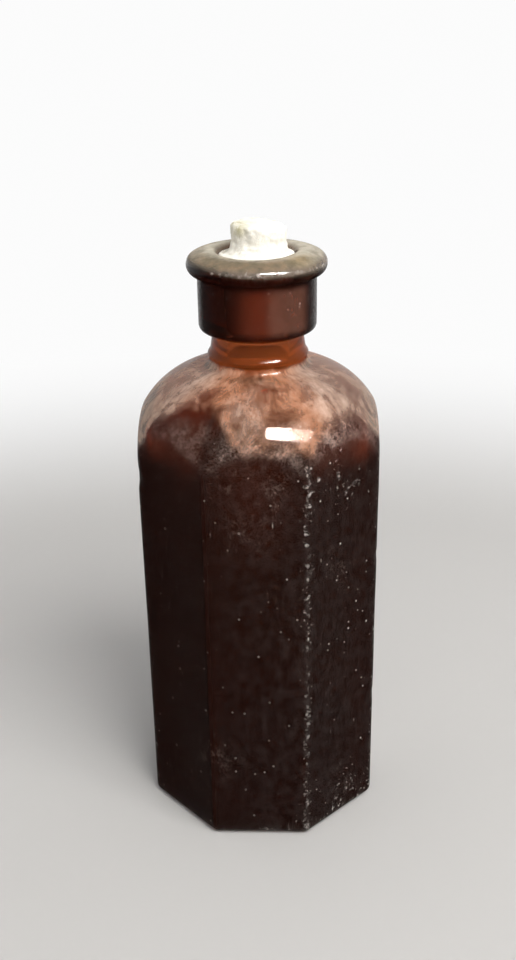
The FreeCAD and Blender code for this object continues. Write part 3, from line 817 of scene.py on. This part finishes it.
        # The worn mask also holds the painted glints on the bead
        low = pen.math("SUBTRACT", dust.fleck_level, pen.attribute("wear_and_glint"))
        squat = pen.scaled(place, (1.0, 1.0, 0.75))
        flecks = placed(pen, patch_group(), squat, 1.2, 6.5, low, pen.math("ADD", low, 0.08))
        flecks = pen.times(flecks, pen.band(pen.noise(place, 0.08, 2.0), 0.4, 0.58, 0.3, 1.0))
        specks = placed(pen, speck_group(), place, 0.5, 0.13, 0.5)
        lines = placed(pen, speck_group(), pen.scaled(place, (1.0, 1.0, 0.12)), 0.62, 0.095, 0.5)
        lines = pen.times(lines, pen.band(pen.noise(place, 0.12, 2.0), 0.45, 0.6))
        single = pen.times(pen.attribute("rub"), pen.math("MAXIMUM", specks, lines))
        faint = pen.band(pen.noise(place, 0.6, 3.0), 0.4, 0.62, 0.25, 1.0)
        self.lay(dust.scuff, pen.math("MAXIMUM", flecks, single), faint, dust.scuff_amount)


def dust_and_painted_light_material(dust):
    """Dust in layers, from painted shade, painted glow and haze to flecks and scratches, on a film that is
    clear elsewhere.

    The film's tone is divided by its cover, which is the alpha. The coat gives the gloss of glass on the
    dusty bead, the neck and the far sides.
    """
    material, pen, shader, _ = new_material("dust_wear_and_painted_light")
    film = DustAndPaintedLightFilm(pen, dust)
    film.lay_shade_glow_and_rubs()
    film.lay_haze()
    film.lay_lip()
    film.lay_marks()

    divisor = pen.math("MAXIMUM", film.total, 0.002)
    tone = pen.add("ShaderNodeVectorMath", {0: film.tone, 1: divisor}, operation="DIVIDE").outputs[0]
    speckled = pen.times(pen.attribute("dusty"), pen.band(film.grain, 0.45, 0.75, 0.0, 0.15))
    pen.feed(shader.inputs["Base Color"], pen.blend(speckled, tone, dust.grime))
    pen.feed(shader.inputs["Alpha"], film.total)
    pen.feed(shader.inputs["Roughness"], pen.band(film.grain, 0.3, 0.7, 0.6, 0.95))
    shader.inputs["Specular IOR Level"].default_value = 0.0
    clean = pen.band(pen.noise(film.place, 3.2, 3.0), 0.42, 0.58, 0.1, 1.0)
    pen.feed(shader.inputs["Coat Weight"], pen.times(pen.attribute("gloss"), clean))
    shader.inputs["Coat Roughness"].default_value = 0.12
    return material


def cork_material(cork):
    """Cork: pale weathered end, warmer inside the neck, cell grain, dark pores, bark with painted warm shade
    on the left.
    """
    material, pen, shader, _ = new_material("worn_cork")
    place = pen.millimetres()
    height = pen.parts(place)[2]
    patches = placed(pen, patch_group(), place, 0.3, 1.4, 0.36, 0.66)
    cells = pen.add("ShaderNodeTexVoronoi", {"Vector": place, "Scale": 1.9}, feature="F1")
    pores = placed(pen, speck_group(), pen.scaled(place, (1.0, 1.0, 0.55)), 0.75, 0.26, 0.35)
    weathered = pen.band(pen.math("ADD", height, pen.times(patches, 1.5)), 122.0, 125.5)
    tone = pen.blend(weathered, cork.fresh, cork.bleached)
    shade = pen.band(cells.outputs["Distance"], 0.1, 0.75, 0.0, 0.1)
    tone = pen.blend(pen.math("ADD", shade, pen.times(patches, 0.06)), tone, cork.cell)
    barked = pen.times(pen.attribute("bark_and_shade"), pen.band(patches, 0.1, 0.8, 0.25, 0.95))
    tone = pen.blend(barked, tone, cork.bark_and_shade)
    tone = pen.blend(pen.times(pores, pen.band(weathered, 0.0, 1.0, 0.7, 0.22)), tone, cork.pore)
    pen.feed(shader.inputs["Base Color"], tone)
    pen.feed(shader.inputs["Roughness"], pen.band(patches, 0.0, 1.0, 0.82, 0.96))
    shader.inputs["Specular IOR Level"].default_value = 0.2
    relief = pen.math("SUBTRACT", pen.noise(place, 2.6, 5.0, 0.65), pen.times(pores, 0.6))
    bump = pen.add("ShaderNodeBump", {"Height": relief, "Strength": 0.55, "Distance": 0.00025})
    pen.feed(shader.inputs["Normal"], bump.outputs[0])
    return material


def lumps(points, wavelength, seed, count=28):
    """Smooth lumps of about one wavelength and unit height.

    They are the sum of cosine waves in random directions, over the root of their number.
    """
    chance = np.random.default_rng(seed)
    ways = chance.normal(size=(3, count))
    ways /= np.linalg.norm(ways, axis=0)
    ways *= 2.0 * math.pi / (wavelength * chance.uniform(0.7, 1.4, count))
    phases = chance.uniform(0.0, 2.0 * math.pi, count)
    return np.cos(points @ ways + phases).sum(axis=-1) / math.sqrt(count)


def cork_grid(cork, glass):
    """Points of the cork as rows by columns by three, and the mask of its bark patch, which also paints warm
    shade.

    A profile turns round an axis that moves from the bottle's axis in the seat to the stub's own. Lumps push
    the stub's skin in and out and the plug's skin only inwards, pits are Gaussian dents, and a trench is
    pressed into the rim on the left as a Gaussian of the radius and of the angle.
    """
    angle = np.linspace(0.0, 2.0 * math.pi, 176, endpoint=False) - math.pi / 2
    slope = (glass.seat_top_radius - glass.bore_radius) / (SEAT_TOP - SEAT_FOOT)
    low = cork.bottom + 0.8 * MM
    low_radius = glass.bore_radius + (low - SEAT_FOOT) * slope - cork.gap
    rim_radius = glass.seat_top_radius - cork.gap
    rim = cork.rim_height
    waist = cork.stub_radius
    side = [(low_radius - 0.8 * MM, cork.bottom), (low_radius, low), (rim_radius, SEAT_TOP),
            (rim_radius + 0.16 * MM, 124.5 * MM), (rim_radius + 0.5 * MM, rim - 0.15 * MM),
            (rim_radius + 0.3 * MM, rim + 0.1 * MM), (waist + 0.9 * MM, rim + 0.5 * MM),
            (waist + 0.35 * MM, rim + 1.3 * MM), (waist, 127.9 * MM), (waist + 0.1 * MM, 129.8 * MM),
            (waist + 0.05 * MM, cork.top - 0.7 * MM), (waist - 0.6 * MM, cork.top - 0.05 * MM),
            (waist - 1.6 * MM, cork.top), (0.25 * MM, cork.top)]
    base = np.stack([np.linspace(0.6 * MM, low_radius - 0.8 * MM, 9), np.full(9, cork.bottom)], axis=1)
    profile = np.concatenate([base, even_walk(side, 0.21 * MM, 0.16 * MM)[1:]])
    radius = profile[:, :1] * np.ones_like(angle)
    level = profile[:, 1:] * np.ones_like(angle)
    shift = cork.stub_offset * smooth_step(rim, rim + 1.6 * MM, level)
    points = np.stack([radius * np.cos(angle) + shift, radius * np.sin(angle), level], axis=-1)
    normal = grid_normals(points)

    free = smooth_step(rim - 0.6 * MM, rim + 0.2 * MM, level)
    coarse = lumps(points, 3.4 * MM, 5)
    fine = lumps(points, 1.1 * MM, 6, 40)
    push = free * (0.1 * coarse + 0.05 * fine - 0.1) * MM
    push = push - (1.0 - free) * 0.03 * MM * (1.0 + np.clip(coarse, -1.0, 1.0))

    # Pits in the stub, a third of them on its top
    chance = np.random.default_rng(31)
    count = 46
    on_top = count // 3
    turn = chance.uniform(0.0, 2.0 * math.pi, count)
    spots = np.stack([cork.stub_offset + waist * np.cos(turn), waist * np.sin(turn),
                      chance.uniform(rim + 0.5 * MM, cork.top, count)], axis=-1)
    inward = chance.uniform(0.35, 1.0, count)
    spots[:on_top, :2] *= inward[:on_top, None]
    spots[:on_top, 2] = cork.top
    depth = chance.uniform(0.08, 0.32, count) * MM
    width = chance.uniform(0.25, 0.6, count) * MM
    gap = points[..., None, :] - spots
    gap[..., 2] *= 0.6
    push = push - (depth * np.exp(-(gap ** 2).sum(axis=-1) / width ** 2)).sum(axis=-1) * free
    points = points + normal * push[..., None]

    # Top that falls to the right, and the trench beside the stub
    fall = cork.top_fall * np.clip(points[..., 0] / waist, 0.0, 1.0)
    points[..., 2] -= fall * smooth_step(rim + 2.0 * MM, cork.top, level)
    left = np.exp(-((np.mod(angle, 2 * math.pi) - 2.75) / 0.55) ** 2)
    ring = np.exp(-((radius - 6.6 * MM) / (0.55 * MM)) ** 2)
    ring = ring * smooth_step(rim - 0.7 * MM, rim - 0.1 * MM, level) * (level < rim + 1.4 * MM)
    points[..., 2] -= cork.trench_depth * ring * left
    points[..., 2] = np.minimum(points[..., 2], cork.top)

    # Bark patch on the stub's left, which also carries painted warm shade there
    bark_and_shade = smooth_step(-0.5 * MM, -4.0 * MM, points[..., 0])
    bark_and_shade = bark_and_shade * smooth_step(2.5 * MM, -1.5 * MM, points[..., 1])
    return points, bark_and_shade * smooth_step(rim + 3.0 * MM, rim + 5.6 * MM, level)


class OutsidePlaces:
    """Where the points of the outside grid lie, and the shapes that their masks are made of.

    x, y, z, the radius and the gap, which is the distance across from the nearest upright edge, are in
    millimetres. Turn is the direction from the axis in degrees, aside its angle from the front facet, and
    facing the cosine of its angle from the front right facet. Edge is the number of the nearest upright edge.
    """

    def __init__(self, grid, angle):
        self.angle = angle
        self.x, self.y, self.z = (grid[..., axis] / MM for axis in range(3))
        self.radius = np.hypot(self.x, self.y)
        self.turn = (np.mod(np.degrees(angle) + 180.0, 360.0) - 180.0) * np.ones_like(self.z)
        self.aside = np.abs(np.mod(self.turn + 270.0, 360.0) - 180.0)
        self.facing = np.cos(angle + EIGHTH_TURN) * np.ones_like(self.z)
        self.gap = self.radius * np.sin(HALF_SIDE_ANGLE - np.abs(facet_angle(angle)))
        self.edge = np.floor(np.mod(angle + math.pi / 2, 2 * math.pi) / EIGHTH_TURN).astype(int)

    def step(self, start, end):
        """A smooth step of the height, zero at start and one at end."""
        return smooth_step(start, end, self.z)

    def between(self, low, full, end, high):
        """One from the height full to the height end, and smooth steps to zero at low and at high."""
        return self.step(low, full) * self.step(high, end)

    def around(self, table):
        """Values that run in straight lines from each direction of a table to the next."""
        turns, values = np.transpose(table)
        return np.interp(self.turn, turns, values, period=360)

    def spot(self, middle, reach):
        """A Gaussian of the distance from a point."""
        x, y, z = middle
        return np.exp(-((self.x - x) ** 2 + (self.y - y) ** 2 + (self.z - z) ** 2) / reach ** 2)

    def spots(self, middles, reach):
        """The sum of such Gaussians."""
        return sum(self.spot(middle, reach) for middle in middles)

    def collar(self):
        """One on the band below the lip."""
        return self.between(109.8, 111.0, 121.5, 123.6)

    def neck(self):
        """One on the bare neck."""
        return self.between(102.6, 104.2, 109.4, 110.0)


def shoulder_masks(glass, at):
    """Haze, smears and bloom on the shoulder, and wisps on the facets.

    Haze is a smooth step of the height over a limit that changes round the shoulder, and it is thinner in two
    spots. Bloom is a Gaussian of the height over the arched top of a facet, where the dome's circle meets the
    octagon.
    """
    limit = at.around(HAZE_LIMIT)
    haze = smooth_step(limit - 3.5, limit + 3.0, at.z) * at.step(105.0, 102.6)
    clear = 0.7 * at.spot(HIGHLIGHT, 4.7) + 0.4 * at.spot(SHOULDER_FRONT, 3.5)

    plan = octagon_radius(at.angle, glass.across_flats / 2, glass.corner_round)
    reach = glass.across_flats / 2 / math.cos(HALF_SIDE_ANGLE) - glass.shoulder_round
    arch = glass.shoulder_start + np.sqrt(np.maximum(glass.shoulder_round ** 2 - (plan - reach) ** 2, 0.0))
    over = at.z - arch[None, :] / MM
    bloom = np.exp(-(over / np.where(over > 0, 3.2, 1.2)) ** 2) * at.around(BLOOM_STRENGTH)
    bloom = bloom * at.step(86.0, 92.0) + 0.45 * at.spots(BLOOM_SPOTS, 2.4)
    return {
        "haze": haze,
        "dense": at.around(HAZE_DENSITY) * (1.0 - np.minimum(clear, 0.8)),
        "pale": np.minimum(0.65 * at.spots(PALE_SMEARS, 3.2), 1.0),
        "calm": smooth_step(55.0, 85.0, at.aside),
        "side": smooth_step(22.0, 60.0, at.aside) * smooth_step(140.0, 100.0, at.aside),
        "bloom": np.minimum(bloom, 1.0),
        "wisps": np.minimum(at.spots(WISPS, 4.4), 1.0),
    }


def tone_masks(at):
    """Painted shade on body, collar and under the bead, painted glow on neck, collar and shoulder, and a dust
    veil.

    They are smooth steps of the height and of the angle from the front. Gaussians of the direction give the
    middle of the collar and the upper front facet, and one of the gap gives a painted dark line of shade on
    the left front edge.
    """
    band = at.between(110.6, 112.5, 119.5, 121.2)
    middle = np.exp(-((at.turn + 88.0) / 17.0) ** 2)
    # Painted shade under the bead
    under_bead = at.between(120.6, 121.6, 123.4, 124.6)
    # Painted glow: the upper front facet, the front facet and red lobes on the shoulder's sides
    upper_front = np.exp(-((at.turn + 91.0) / 15.0) ** 2) * at.between(62.0, 84.0, 90.0, 94.0)
    front_facet = smooth_step(23.3, 22.2, at.aside) * at.step(94.0, 88.0)
    lobes = at.between(84.0, 92.0, 100.0, 106.0) * smooth_step(20.0, 30.0, at.aside)
    lobes = 0.35 * lobes + 0.5 * at.spots(RED_GLOW_LOBES, 2.6)
    # Painted shade: a dark film over the body, less at the back and near the shoulder, with a dark line on
    # the left front edge
    body = 1.0 + 0.25 * smooth_step(38.0, 60.0, at.aside) - 0.55 * smooth_step(80.0, 120.0, at.aside)
    body = body + np.exp(-(at.gap / 0.45) ** 2) * (at.edge == LEFT_FRONT_EDGE)
    body = body * at.step(106.0, 101.0) * (1.0 - 0.55 * at.step(82.0, 94.0))
    return {
        "painted_shade": body + at.collar() * (1.0 - 0.6 * middle) + 0.55 * under_bead,
        "neck": at.neck(),
        "glow": band * middle + 0.15 * upper_front + 0.02 * front_facet + lobes,
        "veil": band * smooth_step(-84.0, -70.0, at.turn) * smooth_step(-28.0, -44.0, at.turn),
    }


def wear_masks(at):
    """Flecks, painted glints, wipe marks and rubbed edges.

    Wear is a Gaussian of the gap from the nearest upright edge, with a strength of its own for each edge,
    plus the heel, clusters of flecks and painted glints along the front of the bead. Rub grows towards the
    front right.
    """
    upright = np.exp(-(at.gap / 1.05) ** 2) * EDGE_FLECKS[at.edge] * at.step(92.0, 87.0)
    heel = at.step(5.0, 1.0) * (0.4 + 0.6 * smooth_step(0.2, 1.0, at.facing))
    rub = (0.3 + 0.7 * smooth_step(0.2, 0.97, at.facing)) * at.step(100.0, 92.0)
    rub = np.clip(rub + 0.5 * at.collar() * smooth_step(0.1, 0.9, at.facing), 0.0, 1.0)
    clusters = sum(at.spot(middle, reach) for middle, reach in FLECK_CLUSTERS)
    # Painted glints: flecks along the front of the bead stand for its broken highlight
    painted_glint = np.exp(-((at.z - 123.9) / 0.45) ** 2) * smooth_step(-0.3, 0.6, at.facing)
    edges = np.exp(-(at.gap / 0.6) ** 2) * EDGE_RUBS[at.edge] * at.step(93.0, 86.0)
    edges = edges + 0.5 * at.between(0.0, 0.5, 1.2, 2.6)
    return {
        "wear_and_glint": 0.11 * upright + 0.01 * rub + 0.07 * heel + 0.06 * clusters + 0.2 * painted_glint,
        "rub": rub,
        "edges": np.minimum(edges, 1.0),
    }


def lip_masks(at, normal):
    """Lip dust: starts lower on the front right, covers more upwards, paler off the front, right and mouth.
    """
    turned = smooth_step(-0.2, 0.8, at.facing)
    lip = smooth_step(123.9, 124.8, at.z + turned)
    thick = 0.5 * smooth_step(-0.9, 0.1, np.sin(at.angle)) + 0.25 * smooth_step(0.3, 1.0, np.cos(at.angle))
    return {
        "lip": lip,
        "lip_dust": lip * (0.2 + 0.8 * smooth_step(123.7, 125.4, at.z + 1.1 * turned)),
        "bead": lip * smooth_step(0.95, 0.55, normal[..., 2]),
        "thick": lip * (thick + 0.5 * smooth_step(11.8, 9.0, at.radius)),
        "stain": at.spot(LIP_STAIN, 2.4),
    }


def dust_and_painted_light_masks(glass, grid, normal, angle):
    """Where dust, worn marks, gloss and the painted shade, glow and glints lie on the outside grid, as named
    arrays.

    Run is the way along the rows of the grid from its first row, in millimetres.
    """
    at = OutsidePlaces(grid, angle)
    steps = np.concatenate([np.zeros((1, grid.shape[1])), np.linalg.norm(np.diff(grid, axis=0), axis=2)])
    masks = {"run": np.cumsum(steps, axis=0) / MM, **shoulder_masks(glass, at), **tone_masks(at),
             **wear_masks(at), **lip_masks(at, normal)}
    masks["dusty"] = np.clip(masks["haze"] + 0.5 * masks.pop("lip"), 0.0, 1.0)
    far_body = smooth_step(60.0, 110.0, at.aside) * at.step(92.0, 86.0)
    masks["gloss"] = (masks["bead"] * smooth_step(-0.8, 0.5, at.facing) + 0.4 * at.neck()
                      + at.collar() * smooth_step(58.0, 75.0, at.aside) + 0.8 * far_body)
    return masks


class BuildGlass(Operator):
    """Build the moulded glass as one closed skin, outside and inside, and give it its amber glass."""

    bl_idname = "reagent_bottle.glass"
    bl_label = "Glass bottle"

    def execute(self, context):
        glass = context.scene.reagent_bottle.glass
        grid, _, _ = glass_grid(glass)
        bottle = closed_skin("amber_bottle", grid, (0.0, 0.0, glass.push_up_depth),
                             (0.0, 0.0, glass.floor_thickness))
        bottle.data.materials.append(glass_material(glass))
        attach(bottle, "bottle")
        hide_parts("glass_bottle")
        return {"FINISHED"}


class BuildDustAndPaintedLight(Operator):
    """Lay the film of dust and worn marks, with painted shade, glow and glints, over the outside of the
    glass.
    """

    bl_idname = "reagent_bottle.dust"
    bl_label = "Dust and wear"

    def execute(self, context):
        settings = context.scene.reagent_bottle
        glass, dust = settings.glass, settings.dust
        grid, angle, outer_count = glass_grid(glass)
        normal = grid_normals(grid)
        shown = slice(FILM_FIRST_ROW, outer_count + FILM_ROWS_INSIDE)
        grid, normal = grid[shown], normal[shown]
        film = grid + dust.lift * normal
        film[..., 2] = np.maximum(film[..., 2], 0.0)
        rows, columns = film.shape[:2]
        piece = new_piece("dust_and_painted_light_film", film.reshape(-1, 3), grid_faces(rows, columns).tolist())
        for name, values in dust_and_painted_light_masks(glass, grid, normal, angle).items():
            put_values(piece, name, values)
        piece.data.materials.append(dust_and_painted_light_material(dust))
        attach(piece, "bottle")
        return {"FINISHED"}


class BuildCork(Operator):
    """Build the tapered cork with its worn stub, and give it its weathered cork."""

    bl_idname = "reagent_bottle.cork"
    bl_label = "Cork"

    def execute(self, context):
        settings = context.scene.reagent_bottle
        points, bark_and_shade = cork_grid(settings.cork, settings.glass)
        top = points[-1].mean(axis=0)
        piece = closed_skin("worn_stopper", points, (0.0, 0.0, settings.cork.bottom), tuple(top))
        put_values(piece, "bark_and_shade", np.concatenate([bark_and_shade.ravel(), [0.0, 0.0]]))
        piece.data.materials.append(cork_material(settings.cork))
        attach(piece, "cork")
        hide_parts("cork_stopper")
        return {"FINISHED"}


def stage_material(stage):
    """Pale matt floor with a faint grain that turns into a plain white wall further out.

    The white shows to the camera, in reflections and through the glass; it lights nothing else.
    """
    material, pen, shader, output = new_material("pale_stage")
    place = pen.millimetres()
    ahead = pen.add("ShaderNodeVectorMath", {0: place, 1: (0.0, 120.0, 0.0)}, operation="ADD").outputs[0]
    away = pen.add("ShaderNodeVectorMath", {0: ahead}, operation="LENGTH").outputs["Value"]
    far = pen.band(away, 250.0, 470.0)
    grain = placed(pen, patch_group(), place, 0.004, 0.4, 0.3, 0.7)
    tone = pen.blend(far, stage.floor_near, stage.floor_far)
    tone = pen.blend(pen.times(grain, 0.04), tone, stage.floor_grain)
    pen.feed(shader.inputs["Base Color"], tone)
    shader.inputs["Roughness"].default_value = 0.9
    shader.inputs["Specular IOR Level"].default_value = 0.1
    ray = pen.add("ShaderNodeLightPath").outputs
    seen = pen.math("MAXIMUM", ray["Is Glossy Ray"], ray["Is Transmission Ray"])
    seen = pen.math("MAXIMUM", ray["Is Camera Ray"], seen)
    white = pen.add("ShaderNodeEmission", {"Color": (0.97, 0.97, 0.97, 1.0), "Strength": 1.0})
    parts = {0: pen.times(seen, far), 1: shader.outputs[0], 2: white.outputs[0]}
    mixed = pen.add("ShaderNodeMixShader", parts)
    pen.feed(output.inputs["Surface"], mixed.outputs[0])
    return material


def add_lamp(name, position, size, power, colour_, roll=0.0):
    """Rectangular lamp turned to the shoulder, and then about its own axis by the roll in degrees."""
    data = bpy.data.lights.new(name, "AREA")
    data.shape = "RECTANGLE"
    data.size, data.size_y = size
    data.energy = power
    data.color = colour_
    lamp = bpy.data.objects.new(name, data)
    lamp.location = position
    lamp.rotation_mode = "QUATERNION"
    aim = (Vector(LAMP_AIM) - Vector(position)).to_track_quat("-Z", "Y")
    lamp.rotation_quaternion = aim @ Quaternion((0.0, 0.0, 1.0), math.radians(roll))
    bpy.context.scene.collection.objects.link(lamp)
    return lamp


class BuildStage(Operator):
    """Set out the floor with its rounded wall, the lamps, the world and the camera."""

    bl_idname = "reagent_bottle.stage"
    bl_label = "Stage, lamps and camera"

    def execute(self, context):
        scene = context.scene
        stage = scene.reagent_bottle.stage

        # A disc whose rim curves up into a wall: lines and a quarter circle turned round the axis
        profile = np.concatenate([[(0.02, 0.0), (0.1, 0.0), (0.4, 0.0)], arc((0.9, 0.6), 0.6, -90.0, 0.0, 24),
                                  [(1.5, 1.0), (1.5, 1.5)]])
        angle = np.linspace(0.0, 2.0 * math.pi, 96, endpoint=False)
        ring = np.stack([profile[:, :1] * np.cos(angle), profile[:, :1] * np.sin(angle),
                         profile[:, 1:] * np.ones_like(angle)], axis=-1)
        ring[..., 2] -= FLOOR_DROP
        faces = grid_faces(len(profile), len(angle))[:, ::-1].tolist() + [list(range(len(angle)))]
        floor = new_piece("pale_floor", ring.reshape(-1, 3), faces)
        floor.data.materials.append(stage_material(stage))

        add_lamp("key_lamp", (0.31, -0.41, 0.64), (0.5, 0.4), stage.key_power, (1.0, 0.98, 0.95))
        card = add_lamp("gloss_card", (0.30, -0.40, 0.62), (0.48, 0.19), 80.0, (1.0, 1.0, 1.0), -28.0)
        card.visible_diffuse = False

        world = bpy.data.worlds.new("soft_sky")
        world.use_nodes = True
        backdrop = world.node_tree.nodes["Background"]
        backdrop.inputs["Color"].default_value = (1.0, 1.0, 1.0, 1.0)
        backdrop.inputs["Strength"].default_value = stage.fill
        scene.world = world

        data = bpy.data.cameras.new("photo_camera")
        data.sensor_fit = "AUTO"
        data.sensor_width = 36.0
        data.lens = stage.lens
        data.clip_start = 0.01
        camera = bpy.data.objects.new("photo_camera", data)
        turn = Matrix((CAMERA_RIGHT, CAMERA_UP, CAMERA_BACK)).transposed().to_4x4()
        camera.matrix_world = Matrix.Translation(CAMERA_PLACE) @ turn
        scene.collection.objects.link(camera)
        scene.camera = camera
        scene.view_settings.view_transform = "Standard"
        return {"FINISHED"}


class ReagentBottlePanel(Panel):
    """Sidebar panel that lists the steps and their settings."""

    bl_idname = "VIEW3D_PT_reagent_bottle"
    bl_label = "Reagent bottle"
    bl_space_type = "VIEW_3D"
    bl_region_type = "UI"
    bl_category = "Reagent bottle"

    def draw(self, context):
        settings = context.scene.reagent_bottle
        steps = [(BuildGlass, settings.glass), (BuildDustAndPaintedLight, settings.dust), (BuildCork, settings.cork),
                 (BuildStage, settings.stage)]
        for step, group in steps:
            box = self.layout.box()
            box.operator(step.bl_idname)
            for name in group.bl_rna.properties.keys():
                if name not in {"rna_type", "name"}:
                    box.prop(group, name)


CLASSES = (GlassSettings, DustAndPaintedLightSettings, CorkSettings, StageSettings, ReagentBottleSettings,
           BuildGlass, BuildDustAndPaintedLight, BuildCork, BuildStage, ReagentBottlePanel)


def register():
    for item in CLASSES:
        bpy.utils.register_class(item)
    bpy.types.Scene.reagent_bottle = PointerProperty(type=ReagentBottleSettings)


def unregister():
    del bpy.types.Scene.reagent_bottle
    for item in reversed(CLASSES):
        bpy.utils.unregister_class(item)


def main():
    register()
    bpy.ops.reagent_bottle.stage()
    bpy.ops.reagent_bottle.glass()
    bpy.ops.reagent_bottle.dust()
    bpy.ops.reagent_bottle.cork()


if __name__ == "__main__":
    main()
